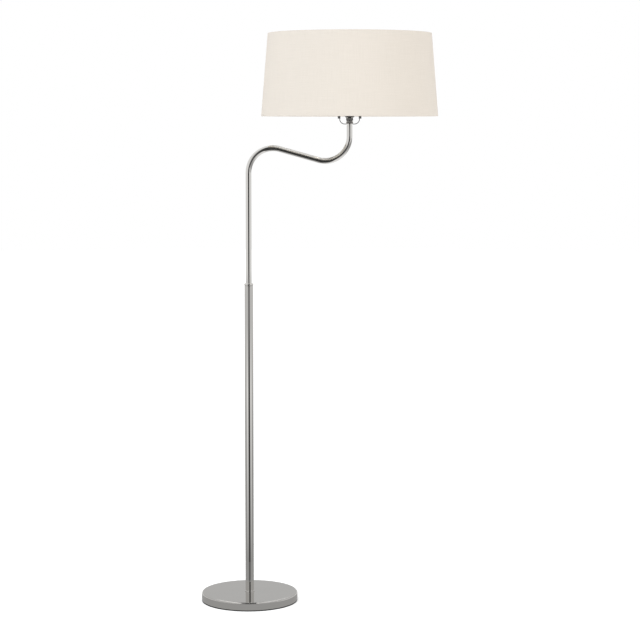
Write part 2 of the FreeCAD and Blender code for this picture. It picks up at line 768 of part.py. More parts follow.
def switch():
    stem = pin("switch_stem", "stem_radius", "stem_outer_end - stem_inner_end",
               ("arm_reach", "-stem_inner_end", "switch_level"), (0, -1, 0))
    keep(stem, "switch_stem")
    grip = pin("knob_grip", "knob_radius", "knob_length", ("arm_reach", "-knob_inner_face", "switch_level"),
               (0, -1, 0))
    flats = [
        block("knob_flat_" + name,
              ("arm_reach " + place, "-knob_inner_face - knob_length", "switch_level - knob_radius"),
              ("knob_radius", "knob_flat_length", "2 * knob_radius"))
        for name, place in (("left", "- 1.5 * knob_radius"), ("right", "+ 0.5 * knob_radius"))]
    bore = pin("knob_bore", "stem_radius", "stem_outer_end", ("arm_reach", "0", "switch_level"), (0, -1, 0))
    beyond = block("beyond_stem",
                   ("arm_reach - knob_radius", "-2 * stem_outer_end", "switch_level - knob_radius"),
                   ("2 * knob_radius", "stem_outer_end", "2 * knob_radius"))
    keep(cut("switch_knob", grip, flats + [cut("knob_stem_room", bore, [beyond])]), "switch_knob")


# ---- bulb -----------------------------------------------------------------------------

def bulb_solid(name, wall):
    """Pear shape of the bulb, a wall's thickness inside its true outside."""
    slope = "(bulb_taper * 1deg)"
    join_radius = "bulb_radius * cos%s" % slope
    join_level = "bulb_centre - bulb_radius * sin%s" % slope
    taper = "(%s - bulb_neck) / tan%s" % (join_radius, slope)
    ball = document.addObject("Part::Sphere", name + "_ball")
    ball.setExpression("Radius", bound("bulb_radius - " + wall))
    ball.setExpression("Placement.Base.z", bound("bulb_centre"))
    cone = document.addObject("Part::Cone", name + "_taper")
    cone.setExpression("Radius1", bound("bulb_neck - %s / cos%s" % (wall, slope)))
    cone.setExpression("Radius2", bound("%s - %s / cos%s" % (join_radius, wall, slope)))
    cone.setExpression("Height", bound(taper))
    cone.setExpression("Placement.Base.z", bound("%s - %s" % (join_level, taper)))
    neck = pin(name + "_neck", "bulb_neck - %s / cos%s" % (wall, slope),
               "%s - %s - bulb_glass_bottom" % (join_level, taper), ("0", "0", "bulb_glass_bottom"),
               (0, 0, 1))
    return joined(name, [on_arm_axis(ball), on_arm_axis(cone), on_arm_axis(neck)])


def bulb():
    keep(cut("bulb_glass", bulb_solid("bulb_outside", "0"), [bulb_solid("bulb_inside", "bulb_glass_wall")]),
         "bulb_glass")
    cap = turned("bulb_cap", (
        ("tip_radius", "bulb_cap_bottom"), ("bulb_cap_radius - bulb_cap_slant", "bulb_cap_bottom"),
        ("bulb_cap_radius", "bulb_cap_bottom + bulb_cap_slant"), ("bulb_cap_radius", "bulb_cap_top"),
        ("bulb_neck", "bulb_cap_top"), ("bulb_neck", "bulb_glass_bottom"),
        ("bulb_neck - bulb_cap_rim", "bulb_glass_bottom"),
        ("bulb_neck - bulb_cap_rim", "bulb_cap_bottom + bulb_cap_slant"),
        ("tip_radius", "bulb_cap_bottom + bulb_cap_slant")))
    keep(on_arm_axis(cap), "bulb_cap")
    tip = turned("bulb_contact", (
        ("0", "contact_top"), ("tip_radius / 2", "contact_top"), ("tip_radius", "bulb_cap_bottom"),
        ("tip_radius", "bulb_cap_bottom + bulb_cap_rim"), ("0", "bulb_cap_bottom + bulb_cap_rim")))
    keep(on_arm_axis(tip), "bulb_contact")


# ---- shade ----------------------------------------------------------------------------

def shade_wall(name, inset, thickness):
    """Conical wall of the shade, set in from its outer face."""
    outer = " - (%s)" % inset
    inner = outer + " - " + thickness
    wall = turned(name, (
        ("shade_bottom_radius" + inner, "shade_bottom"), ("shade_bottom_radius" + outer, "shade_bottom"),
        ("shade_top_radius" + outer, "shade_top"), ("shade_top_radius" + inner, "shade_top")))
    keep(on_arm_axis(wall), name)


def wire_ring(name, radius, level):
    """Round wire bent into a hoop."""
    hoop = document.addObject("Part::Torus", name)
    hoop.setExpression("Radius1", bound(radius))
    hoop.setExpression("Radius2", bound("ring_wire"))
    hoop.setExpression("Placement.Base.z", bound(level))
    return on_arm_axis(hoop)


def shade():
    shade_wall("shade_fabric", "0", "fabric_thickness")
    shade_wall("shade_liner", "fabric_thickness", "liner_thickness")
    keep(wire_ring("shade_bottom_ring", "shade_bottom_radius - ring_inset", "shade_bottom + ring_drop"),
         "shade_bottom_ring")
    ring_radius = "(shade_top_radius - ring_inset)"
    ring_level = "(shade_top - ring_drop)"
    slope = "(spoke_rise * 1deg)"
    ramp = "((%s - spoke_level - spoke_bend * (1 - cos%s)) / sin%s)" % (ring_level, slope, slope)
    flat = "%s - spoke_start - spoke_bend * sin%s - %s * cos%s" % (ring_radius, slope, ramp, slope)

    def spoke_section(sketch):
        sketch.addGeometry(Part.Circle(FreeCAD.Vector(0, value("spoke_level"), 0), FreeCAD.Vector(0, 0, 1),
                                       value("spoke_wire")), False)
        pin_point(sketch, 0, 3, "0", "spoke_level")
        dimension(sketch, "Radius", (0,), "spoke_wire")

    spokes = piped("spider_spokes", spoke_section, ("spoke_start", "spoke_level"), 0, (
        ("run", flat), ("left", "spoke_bend", "spoke_rise"), ("run", ramp)))
    pattern = spokes.newObject("PartDesign::PolarPattern", "spoke_pattern")
    pattern.Originals = [spokes.Tip]
    pattern.Axis = (origin_item(spokes, "Z_Axis"), [""])
    pattern.Angle = 360
    pattern.Occurrences = 3
    spokes.Tip = pattern
    hub = ring("spider_hub", "hub_bore", "hub_radius", "spoke_level - hub_thickness / 2",
               "spoke_level + hub_thickness / 2")
    hoop = wire_ring("spider_hoop", ring_radius, ring_level)
    keep(joined("shade_spider", [on_arm_axis(spokes), on_arm_axis(hub), hoop]), "shade_spider")


# ---- checks and files -----------------------------------------------------------------

def check_document():
    """Stop on any object that failed to compute or any sub-part without a sound shape."""
    for item in document.Objects:
        if "Invalid" in item.State or "Error" in item.State:
            raise RuntimeError("%s did not compute" % item.Label)
    for piece in pieces:
        if piece.Shape.isNull() or not piece.Shape.isValid():
            raise RuntimeError("%s has no sound shape" % piece.Label)


def check_lead():
    """A swept lead's volume is its section times its length."""
    lead = next(piece for piece in pieces if piece.Label == "arm_lead")
    path = document.getObject("arm_lead_path").Shape.Length
    expected = math.pi * value("lead_radius") ** 2 * path
    print("arm_lead: length %.1f, volume ratio %.5f" % (path, lead.Shape.Volume / expected))


def write_pieces():
    os.makedirs("parts", exist_ok=True)
    for piece in pieces:
        piece.Shape.exportStep(os.path.join("parts", piece.Label + ".step"))
    print("wrote %d sub-parts" % len(pieces))


fill_sheet()
base_cover()
base_weight()
base_pad()
cord_gland()
base_fastening()
column()
friction_plug()
arm()
spigot()
arm_end()
harp_saddle()
harp()
harp_top()
ferrules()
socket_cap()
socket_interior()
terminals()
socket_sleeves()
switch()
bulb()
shade()
document.recompute()
check_document()
check_lead()
write_pieces()
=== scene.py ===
"""Looks of the adjustable arm floor lamp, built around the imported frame.

Metres, +Z up, the arm along +X, the cord gland at +Y.
"""

import math

import bmesh
import bpy
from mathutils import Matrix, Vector
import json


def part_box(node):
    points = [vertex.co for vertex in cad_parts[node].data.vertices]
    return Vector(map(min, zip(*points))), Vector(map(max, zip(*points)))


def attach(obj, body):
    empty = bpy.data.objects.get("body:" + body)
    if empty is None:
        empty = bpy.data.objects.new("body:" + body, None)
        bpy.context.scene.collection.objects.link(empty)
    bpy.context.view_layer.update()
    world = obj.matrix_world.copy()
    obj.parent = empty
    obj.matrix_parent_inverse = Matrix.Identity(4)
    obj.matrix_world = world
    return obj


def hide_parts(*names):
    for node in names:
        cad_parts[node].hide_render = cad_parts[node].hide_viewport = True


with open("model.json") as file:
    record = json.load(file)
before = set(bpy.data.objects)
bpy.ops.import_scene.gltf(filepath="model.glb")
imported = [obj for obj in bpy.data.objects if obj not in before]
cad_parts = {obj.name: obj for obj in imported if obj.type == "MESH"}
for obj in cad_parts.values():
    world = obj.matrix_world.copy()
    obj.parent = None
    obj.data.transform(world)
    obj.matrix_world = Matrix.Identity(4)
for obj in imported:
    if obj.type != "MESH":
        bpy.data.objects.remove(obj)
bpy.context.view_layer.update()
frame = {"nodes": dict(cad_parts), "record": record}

nodes = frame["nodes"]
MM = 0.001
DEGREE = math.radians(1)

# Places taken from the frame
BASE_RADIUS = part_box("base_cover")[1][0]
COLLAR_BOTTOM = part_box("column_collar")[0][2]
FABRIC_LOW, FABRIC_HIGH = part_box("shade_fabric")
NECK_LOW, NECK_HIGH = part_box("turned_neck")
ARM_X = (NECK_LOW[0] + NECK_HIGH[0]) / 2
SHADE_BOTTOM = FABRIC_LOW[2]
SHADE_TOP = FABRIC_HIGH[2]
SHADE_BOTTOM_RADIUS = (FABRIC_HIGH[0] - FABRIC_LOW[0]) / 2
SHADE_TAPER = 17 * MM
SHADE_TOP_RADIUS = SHADE_BOTTOM_RADIUS - SHADE_TAPER


# ---- camera ---------------------------------------------------------------------------

CAMERA_PLACE = (0.1840, -4.940, 1.2436)
CAMERA_DIP = 4.7093
CAMERA_LENS = 107.84
CAMERA_SHIFT = -0.0605


def make_camera():
    """Long lens just below the shade's rim, tipped down to take in the base."""
    data = bpy.data.cameras.new("camera")
    data.sensor_width = 36
    data.lens = CAMERA_LENS
    data.shift_y = CAMERA_SHIFT
    data.clip_end = 50
    camera = bpy.data.objects.new("camera", data)
    camera.location = CAMERA_PLACE
    camera.rotation_euler = (math.radians(90 - CAMERA_DIP), 0, 0)
    bpy.context.scene.collection.objects.link(camera)
    bpy.context.scene.camera = camera


# ---- node helpers ---------------------------------------------------------------------

class Tree:
    """Short way to lay out a node tree."""

    def __init__(self, tree):
        self.tree = tree
        tree.nodes.clear()

    def add(self, kind, inputs=None, **settings):
        node = self.tree.nodes.new(kind)
        for name, setting in settings.items():
            setattr(node, name, setting)
        for name, value in (inputs or {}).items():
            self.feed(node, name, value)
        return node

    def feed(self, node, name, value):
        if isinstance(value, bpy.types.NodeSocket):
            self.tree.links.new(value, node.inputs[name])
        else:
            node.inputs[name].default_value = value

    def maths(self, operation, first, second=0.0, third=None):
        inputs = {0: first, 1: second}
        if third is not None:
            inputs[2] = third
        return self.add("ShaderNodeMath", inputs, operation=operation).outputs[0]

    def noise(self, vector, scale, detail=3.0, roughness=0.5):
        node = self.add("ShaderNodeTexNoise", {
            "Vector": vector, "Scale": scale, "Detail": detail, "Roughness": roughness})
        return node.outputs["Fac"]

    def span(self, value, low, high, start=0.0, end=1.0):
        """Map a value from one range to another."""
        node = self.add("ShaderNodeMapRange", {
            "Value": value, "From Min": start, "From Max": end, "To Min": low, "To Max": high})
        return node.outputs["Result"]

    def ramp(self, value, stops):
        """Level read off a list of (degrees, level), for a value in radians."""
        low, high = stops[0][0], stops[-1][0]
        place = self.span(value, 0.0, 1.0, math.radians(low), math.radians(high))
        node = self.add("ShaderNodeValToRGB", {0: place})
        elements = node.color_ramp.elements
        while len(elements) < len(stops):
            elements.new(0.5)
        for element, (degrees, _) in zip(elements, stops):
            element.position = (degrees - low) / (high - low)
        for element, (_, level) in zip(elements, stops):
            element.color = (level, level, level, 1.0)
        return self.add("ShaderNodeSeparateColor", {0: node.outputs[0]}).outputs[0]

    def blend(self, factor, first, second):
        """Mix two colours."""
        node = self.add("ShaderNodeMix", data_type="RGBA")
        for index, value in ((0, factor), (6, first), (7, second)):
            self.feed(node, index, value)
        return node.outputs[2]

    def stretched(self, vector, scale):
        return self.add("ShaderNodeVectorMath", {0: vector, 1: scale}, operation="MULTIPLY").outputs[0]

    def bump(self, height, distance, strength=1.0, normal=None):
        inputs = {"Height": height, "Distance": distance, "Strength": strength}
        if normal is not None:
            inputs["Normal"] = normal
        return self.add("ShaderNodeBump", inputs).outputs[0]

    def finish(self, shader):
        output = self.add("ShaderNodeOutputMaterial")
        self.tree.links.new(shader, output.inputs["Surface"])


def colour(red, green, blue):
    return (red, green, blue, 1.0)


def new_material(name):
    """Material with an empty tree and the object's own coordinates."""
    material = bpy.data.materials.new(name)
    material.use_nodes = True
    tree = Tree(material.node_tree)
    place = tree.add("ShaderNodeTexCoord").outputs["Object"]
    return material, tree, place


def principled(tree, **inputs):
    """Principled shader; underscores in the names stand for spaces."""
    return tree.add("ShaderNodeBsdfPrincipled", {
        name.replace("_", " "): value for name, value in inputs.items()}).outputs[0]


# ---- materials ------------------------------------------------------------------------

def polished_nickel(name, shine=0.02, tint=(0.74, 0.725, 0.70)):
    """Bright plate with faint clouding, fine wipe marks and a slight waviness."""
    material, tree, place = new_material(name)
    cloud = tree.noise(place, 14, 4)
    wipes = tree.noise(tree.stretched(place, (900, 900, 60)), 1, 3)
    base = tree.blend(cloud, colour(*[part * 0.94 for part in tint]), colour(*tint))
    rough = tree.maths("ADD", tree.span(cloud, shine * 0.6, shine * 1.3),
                       tree.span(wipes, 0, shine * 0.5))
    waves = tree.bump(tree.noise(place, 35, 1), 0.000015)
    normal = tree.bump(wipes, 0.000002, normal=waves)
    shader = principled(tree, Base_Color=base, Metallic=1.0, Roughness=rough, Normal=normal)
    tree.finish(shader)
    return material


def plain_metal(name, tint, roughness, grain=(300, 300, 300), depth=0.00003):
    """Turned, plated or drawn metal with a fine grain along one direction."""
    material, tree, place = new_material(name)
    lines = tree.noise(tree.stretched(place, grain), 1, 4)
    stain = tree.noise(place, 40, 3)
    dark = colour(*[part * 0.72 for part in tint])
    base = tree.blend(stain, dark, colour(*tint))
    rough = tree.span(lines, roughness * 0.75, roughness * 1.3)
    shader = principled(tree, Base_Color=base, Metallic=1.0, Roughness=rough,
                        Normal=tree.bump(lines, depth))
    tree.finish(shader)
    return material


def moulded(name, tint, roughness, depth=0.00005, coat=0.0):
    """Moulded plastic, rubber or phenolic with a fine mould texture."""
    material, tree, place = new_material(name)
    skin = tree.noise(place, 2200, 2)
    patch = tree.noise(place, 60, 3)
    light = colour(*[min(1.0, part * 1.15 + 0.004) for part in tint])
    base = tree.blend(patch, colour(*[part * 0.88 for part in tint]), light)
    rough = tree.span(patch, roughness * 0.85, min(1.0, roughness * 1.15))
    shader = principled(tree, Base_Color=base, Roughness=rough, Normal=tree.bump(skin, depth),
                        Coat_Weight=coat)
    tree.finish(shader)
    return material


def rough_iron(name):
    """Sand-cast iron under a black wash."""
    material, tree, place = new_material(name)
    sand = tree.noise(place, 700, 5, 0.65)
    patch = tree.noise(place, 30, 4)
    base = tree.blend(patch, colour(0.03, 0.03, 0.03), colour(0.09, 0.085, 0.08))
    shader = principled(tree, Base_Color=base, Metallic=0.4, Roughness=tree.span(sand, 0.6, 0.9),
                        Normal=tree.bump(sand, 0.0004))
    tree.finish(shader)
    return material


def felt(name):
    """Matted dark fibres."""
    material, tree, place = new_material(name)
    fibres = tree.noise(tree.stretched(place, (1, 1, 3)), 1100, 6, 0.75)
    patch = tree.noise(place, 90, 3)
    base = tree.blend(tree.maths("MULTIPLY", fibres, patch), colour(0.002, 0.002, 0.002),
                      colour(0.02, 0.02, 0.021))
    shader = principled(tree, Base_Color=base, Roughness=0.95, Normal=tree.bump(fibres, 0.0006),
                        Specular_IOR_Level=0.05)
    tree.finish(shader)
    return material


def pressed_paper(name):
    """Brown fibre board tube."""
    material, tree, place = new_material(name)
    fibres = tree.noise(tree.stretched(place, (500, 500, 120)), 1, 5)
    base = tree.blend(fibres, colour(0.17, 0.11, 0.06), colour(0.42, 0.31, 0.19))
    shader = principled(tree, Base_Color=base, Roughness=0.85, Normal=tree.bump(fibres, 0.0002))
    tree.finish(shader)
    return material


BULB_GLOW = 3.0
BULB_WARM_END = 45 * MM


def frosted_bulb(name):
    """Frosted glass, lit softly from within."""
    material, tree, place = new_material(name)
    frost = tree.noise(place, 900, 3)
    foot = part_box("bulb_glass")[0][2]
    height = tree.add("ShaderNodeSeparateXYZ", {0: place}).outputs[2]
    warm = tree.span(height, 0.35, 1.0, foot, foot + BULB_WARM_END)
    glow = tree.blend(warm, colour(0.9, 0.60, 0.34), colour(1.0, 0.90, 0.76))
    base = tree.blend(frost, colour(0.86, 0.85, 0.82), colour(0.93, 0.92, 0.89))
    shader = principled(tree, Base_Color=base, Roughness=tree.span(frost, 0.35, 0.5),
                        Normal=tree.bump(frost, 0.00005),
                        Emission_Color=glow, Emission_Strength=BULB_GLOW)
    tree.finish(shader)
    return material


def sheet_light(tree, base, normal, rough, through):
    """Thin sheet that lets part of the light through."""
    front = principled(tree, Base_Color=base, Roughness=rough, Normal=normal, Sheen_Weight=0.08,
                       Specular_IOR_Level=0.25)
    back = tree.add("ShaderNodeBsdfTranslucent", {"Color": base, "Normal": normal}).outputs[0]
    return tree.add("ShaderNodeMixShader", {0: through, 1: front, 2: back}).outputs[0]


def cylinder_coordinates(tree, place):
    """Distance round the shade and height, in metres, about the shade's own axis."""
    shift = (-ARM_X, 0, 0)
    centred = tree.add("ShaderNodeVectorMath", {0: place, 1: shift}, operation="ADD").outputs[0]
    parts = tree.add("ShaderNodeSeparateXYZ", {0: centred})
    angle = tree.maths("ARCTAN2", parts.outputs[1], parts.outputs[0])
    return tree.maths("MULTIPLY", angle, SHADE_BOTTOM_RADIUS), parts.outputs[2]


THREAD_PITCH = 0.75 * MM


def linen(name):
    """Off-white plain weave: threads both ways, with slubs and uneven beat."""
    material, tree, place = new_material(name)
    around, height = cylinder_coordinates(tree, place)
    thread = 2 * math.pi / THREAD_PITCH
    along = tree.add("ShaderNodeCombineXYZ", {0: around, 1: height, 2: 0.0}).outputs[0]
    wander = tree.maths("MULTIPLY", tree.noise(along, 45, 2), 2.5)
    warp = tree.maths("SINE", tree.maths("MULTIPLY_ADD", around, thread, wander))
    weft = tree.maths("SINE", tree.maths("MULTIPLY_ADD", height, thread, wander))
    half_warp = tree.maths("SINE", tree.maths("MULTIPLY", around, thread / 2))
    half_weft = tree.maths("SINE", tree.maths("MULTIPLY", height, thread / 2))
    over = tree.maths("MULTIPLY", half_warp, half_weft)
    cells = tree.maths("MULTIPLY", warp, weft)
    weave = tree.maths("ADD", tree.maths("MULTIPLY", cells, 0.5), tree.maths("MULTIPLY", over, 0.5))
    slub_flat = tree.noise(tree.stretched(along, (18, 700, 1)), 1, 3)
    slub_up = tree.noise(tree.stretched(along, (700, 18, 1)), 1, 3)
    slubs = tree.maths("ADD", slub_flat, slub_up)
    fuzz = tree.noise(place, 2600, 2)
    relief = tree.maths("ADD", tree.maths("MULTIPLY", weave, 0.35), tree.maths("MULTIPLY", slubs, 0.9))
    relief = tree.maths("ADD", relief, tree.maths("MULTIPLY", fuzz, 0.3))
    tone = tree.span(relief, 0.0, 1.0, 0.4, 1.6)
    base = tree.blend(tone, colour(0.71, 0.655, 0.58), colour(0.80, 0.742, 0.672))
    normal = tree.bump(relief, 0.00018, 0.8)
    tree.finish(sheet_light(tree, base, normal, 0.85, 0.22))
    return material


def styrene(name):
    """White backing sheet with a faint mottle."""
    material, tree, place = new_material(name)
    mottle = tree.noise(place, 160, 4)
    grain = tree.noise(place, 1500, 2)
    base = tree.blend(mottle, colour(0.80, 0.785, 0.745), colour(0.86, 0.85, 0.81))
    tree.finish(sheet_light(tree, base, tree.bump(grain, 0.00003), tree.span(mottle, 0.45, 0.6), 0.35))
    return material


def dress_nodes():
    """Give every CAD node the finish of its record slot."""
    finishes = {
        "nickel": polished_nickel("nickel"),
        "cast_iron": rough_iron("cast_iron"),
        "felt": felt("felt"),
        "black_plastic": moulded("black_plastic", (0.02, 0.02, 0.02), 0.5),
        "zinc_steel": plain_metal("zinc_steel", (0.62, 0.62, 0.58), 0.32),
        "spring_steel": plain_metal("spring_steel", (0.32, 0.32, 0.33), 0.35),
        "rubber": moulded("rubber", (0.02, 0.02, 0.02), 0.85, 0.0001),
        "nylon": moulded("nylon", (0.78, 0.77, 0.72), 0.5),
        "lead_sheath": moulded("lead_sheath", (0.72, 0.72, 0.70), 0.45),
        "wire_insulation": moulded("wire_insulation", (0.03, 0.03, 0.035), 0.4),
        "brass": plain_metal("brass", (0.80, 0.61, 0.28), 0.22),
        "phenolic": moulded("phenolic", (0.012, 0.011, 0.010), 0.22, 0.00002, 0.5),
        "paper": pressed_paper("paper"),
        "aluminium": plain_metal("aluminium", (0.80, 0.80, 0.80), 0.28),
        "frosted_glass": frosted_bulb("frosted_glass"),
        "white_wire": moulded("white_wire", (0.72, 0.71, 0.67), 0.35, 0.00003, 0.3),
        "styrene": styrene("styrene"),
        "linen": linen("linen"),
    }
    for part in frame["record"]["subparts"]:
        mesh = nodes[part["node"]].data
        mesh.materials.clear()
        mesh.materials.append(finishes[part["material_slot"]])
    return finishes


# ---- shade cloth ----------------------------------------------------------------------

HEM = 10 * MM
HEM_FOLD = 5.6 * MM
HEM_CORNER = 0.9 * MM
HEM_PROUD = 0.4 * MM
CLOTH = 0.4 * MM
SEAM_ANGLE = math.radians(90)
SEAM_LAP = 12 * MM
SEAM_RAMP = 3 * MM
SEAM_EDGE = 0.0008
CLOTH_ROWS = 22
CLOTH_COLUMNS = 186


def corner_arc(centre, start):
    """Quarter round of the hem's corner radius."""
    angles = [math.radians(start + 22.5 * step) for step in range(5)]
    return [(centre[0] + HEM_CORNER * math.cos(angle), centre[1] + HEM_CORNER * math.sin(angle))
            for angle in angles]


def shade_profile():
    """Half section of the cloth: in under the bottom wire, up the outside, in over the top wire."""
    slope = (SHADE_BOTTOM_RADIUS - SHADE_TOP_RADIUS) / (SHADE_TOP - SHADE_BOTTOM)
    low, high = SHADE_BOTTOM - HEM_PROUD, SHADE_TOP + HEM_PROUD

    def outside(height):
        return SHADE_BOTTOM_RADIUS - slope * (height - SHADE_BOTTOM)

    def turned_in(height):
        return (outside(height) - HEM_FOLD, height)

    points = [turned_in(low + HEM), turned_in(low + HEM / 2)]
    points += corner_arc((outside(low) - HEM_FOLD + HEM_CORNER, low + HEM_CORNER), 180)
    points += corner_arc((outside(low) - HEM_CORNER, low + HEM_CORNER), 270)
    bottom, top = low + HEM_CORNER, high - HEM_CORNER
    for row in range(1, CLOTH_ROWS):
        height = bottom + (top - bottom) * row / CLOTH_ROWS
        points.append((outside(height), height))
    points += corner_arc((outside(high) - HEM_CORNER, high - HEM_CORNER), 0)
    points += corner_arc((outside(high) - HEM_FOLD + HEM_CORNER, high - HEM_CORNER), 90)
    points += [turned_in(high - HEM / 2), turned_in(high - HEM)]
    return points


def seam_columns():
    """Angles round the shade and how far the cloth stands out at each: one end laps over the other."""
    lap = SEAM_LAP / SHADE_BOTTOM_RADIUS
    ramp = SEAM_RAMP / SHADE_BOTTOM_RADIUS
    columns = [(SEAM_ANGLE - lap - ramp, 0.0), (SEAM_ANGLE - lap - ramp / 2, CLOTH * 0.4),
               (SEAM_ANGLE - lap, CLOTH), (SEAM_ANGLE - lap / 2, CLOTH * 1.15),
               (SEAM_ANGLE - SEAM_EDGE, CLOTH * 1.1), (SEAM_ANGLE, 0.0)]
    start, end = SEAM_ANGLE, SEAM_ANGLE - lap - ramp + 2 * math.pi
    columns += [(start + (end - start) * step / CLOTH_COLUMNS, 0.0) for step in range(1, CLOTH_COLUMNS)]
    return columns


def lapped_round(name, profile, centre, columns):
    """Closed mesh made by carrying a profile of (radius, height) points round a vertical axis."""
    mesh = bpy.data.meshes.new(name)
    sketch = bmesh.new()
    rings = []
    for angle, lift in columns:
        across, along = math.cos(angle), math.sin(angle)
        ring = [(centre + (radius + lift) * across, (radius + lift) * along, height)
                for radius, height in profile]
        rings.append([sketch.verts.new(point) for point in ring])
    for here, there in zip(rings, rings[1:] + rings[:1]):
        for row in range(len(profile) - 1):
            sketch.faces.new((here[row], there[row], there[row + 1], here[row + 1]))
    for face in sketch.faces:
        face.smooth = True
    sketch.to_mesh(mesh)
    sketch.free()
    piece = bpy.data.objects.new(name, mesh)
    bpy.context.scene.collection.objects.link(piece)
    return piece


def make_shade_cloth(finish):
    """Cloth wrapped round the backing, its edges turned in over the wire rings."""
    profile = shade_profile()
    cloth = lapped_round("shade_cloth", profile, ARM_X, seam_columns())
    cloth.data.materials.append(finish)
    thick = cloth.modifiers.new("thickness", "SOLIDIFY")
    thick.thickness = CLOTH
    thick.offset = -1
    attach(cloth, "shade")
    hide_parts("shade_fabric")


# ---- stage ----------------------------------------------------------------------------

FLOOR_RADIUS = 14
FLOOR_DROP = 0.3 * MM
FLOOR_GLOW = 0.3


def make_floor():
    """Plain pale floor that runs into the white background, with a painted contact shadow round the
    base.
    """
    mesh = bpy.data.meshes.new("floor")
    sketch = bmesh.new()
    bmesh.ops.create_circle(sketch, cap_ends=True, segments=64, radius=FLOOR_RADIUS)
    sketch.to_mesh(mesh)
    sketch.free()
    floor = bpy.data.objects.new("floor", mesh)
    bpy.context.scene.collection.objects.link(floor)
    material, tree, place = new_material("floor")
    grain = tree.noise(place, 60, 2)
    base = tree.blend(grain, colour(0.86, 0.86, 0.86), colour(0.88, 0.88, 0.88))
    reach = tree.add("ShaderNodeVectorMath", {0: place}, operation="LENGTH").outputs["Value"]
    # Painted contact shadow: a thin near-black ring with no glow just round the base's edge
    clear_of_painted_shadow = tree.span(reach, 0.0, 1.0, BASE_RADIUS - MM, BASE_RADIUS + 0.7 * MM)
    base = tree.blend(clear_of_painted_shadow, colour(0.01, 0.01, 0.01), base)
    glow = tree.maths("MULTIPLY", clear_of_painted_shadow, FLOOR_GLOW)
    shader = principled(tree, Base_Color=base, Roughness=0.9, Emission_Color=colour(1, 1, 1),
                        Emission_Strength=glow, Specular_IOR_Level=0.0)
    tree.finish(shader)
    mesh.materials.append(material)
    floor.location = (0, 0, -FLOOR_DROP)
    floor.visible_glossy = False


def make_reflector(name, radius, centre, depth=0.0):
    """Round card, or sleeve where it has a depth, that only the polished plate sees."""
    mesh = bpy.data.meshes.new(name)
    sketch = bmesh.new()
    if depth:
        bmesh.ops.create_cone(sketch, cap_ends=False, segments=96, depth=depth,
                              radius1=radius, radius2=radius)
    else:
        bmesh.ops.create_circle(sketch, cap_ends=True, segments=96, radius=radius)
    sketch.to_mesh(mesh)
    sketch.free()
    card = bpy.data.objects.new(name, mesh)
    card.location = centre
    bpy.context.scene.collection.objects.link(card)
    material, tree, place = new_material(name)
    mesh.materials.append(material)
    card.visible_camera = False
    card.visible_diffuse = False
    card.visible_shadow = False
    card.visible_transmission = False
    return tree, place


def card_directions(tree, place):
    """Distance to the right, distance towards the front, and the first over the second."""
    parts = tree.add("ShaderNodeSeparateXYZ", {0: place})
    sideways = parts.outputs[0]
    forward = tree.maths("MAXIMUM", tree.maths("MULTIPLY", parts.outputs[1], -1.0), 0.001)
    return sideways, forward, tree.maths("DIVIDE", sideways, forward)


def glow_one_side(tree, level, back):
    """Let a card glow on its back or its front, and be clear from the other side."""
    glow = tree.add("ShaderNodeEmission", {"Color": level}).outputs[0]
    clear = tree.add("ShaderNodeBsdfTransparent").outputs[0]
    behind = tree.add("ShaderNodeNewGeometry").outputs["Backfacing"]
    sides = {1: clear, 2: glow} if back else {1: glow, 2: clear}
    tree.finish(tree.add("ShaderNodeMixShader", {0: behind, **sides}).outputs[0])


PATCH_RADIUS = 0.45
PATCH_LIFT = 0.5 * MM
PATCH_LEVEL = 0.39
PATCH_STREAK = 0.14


def make_floor_reflection():
    """Patch of floor round the base, with the dark gap's streak across it."""
    tree, place = make_reflector("floor_patch", PATCH_RADIUS, (0, 0, PATCH_LIFT))
    _, forward, slant = card_directions(tree, place)
    outward = tree.span(forward, 0.0, 1.0, 0.19, 0.23)
    streak = tree.maths("MULTIPLY", band(tree, slant, -0.35, 0.53, 0.05), outward)
    level = layered(tree, PATCH_LEVEL, streak, PATCH_STREAK)
    tree.finish(tree.add("ShaderNodeEmission", {"Color": level}).outputs[0])


# Levels across the card over the base, by metres to the right
OVERHEAD_LEVELS = ((-0.66, 0.53), (-0.39, 0.53), (-0.33, 1.8), (-0.27, 1.8), (-0.22, 0.34),
                   (0.24, 0.34), (0.28, 2.2), (0.33, 2.2), (0.38, 0.53), (0.66, 0.53))
OVERHEAD_RADIUS = 4.4
OVERHEAD_HEIGHT = COLLAR_BOTTOM - 10 * MM
OVERHEAD_FAR_LEVEL = 0.53
GAP_BLACK = 0.03


def make_overhead_card():
    """Card over the base, clear from above, that gives its rim a dark middle between two lights."""
    tree, place = make_reflector("overhead_card", OVERHEAD_RADIUS, (0, 0, OVERHEAD_HEIGHT))
    sideways, forward, slant = card_directions(tree, place)
    level = tree.ramp(sideways, [(math.degrees(metres), level) for metres, level in OVERHEAD_LEVELS])
    ahead = tree.span(forward, 0.0, 1.0, 0.50, 0.66)
    gap = tree.maths("MULTIPLY", band(tree, slant, -0.35, 0.45, 0.05), ahead)
    level = layered(tree, level, gap, GAP_BLACK)
    reach = tree.add("ShaderNodeVectorMath", {0: place}, operation="LENGTH").outputs["Value"]
    far = tree.span(reach, 0.0, 1.0, 1.2, 1.8)
    level = layered(tree, level, far, OVERHEAD_FAR_LEVEL)
    far_gap = tree.maths("MULTIPLY", far, band(tree, slant, -0.15, 0.48, 0.03))
    far_gap = tree.maths("MULTIPLY", far_gap, tree.span(forward, 0.0, 1.0, 0.1, 0.3))
    level = layered(tree, level, far_gap, GAP_BLACK)
    glow_one_side(tree, level, back=True)


UNDERSIDE_RADIUS = 45 * MM
UNDERSIDE_DROP = 6 * MM


def make_underside_card():
    """Small dark card below the lamp holder, clear from below, that the holder's underside shows."""
    centre = (ARM_X, 0, NECK_LOW[2] - UNDERSIDE_DROP)
    tree, _ = make_reflector("underside_card", UNDERSIDE_RADIUS, centre)
    glow_one_side(tree, colour(0.05, 0.05, 0.05), back=False)


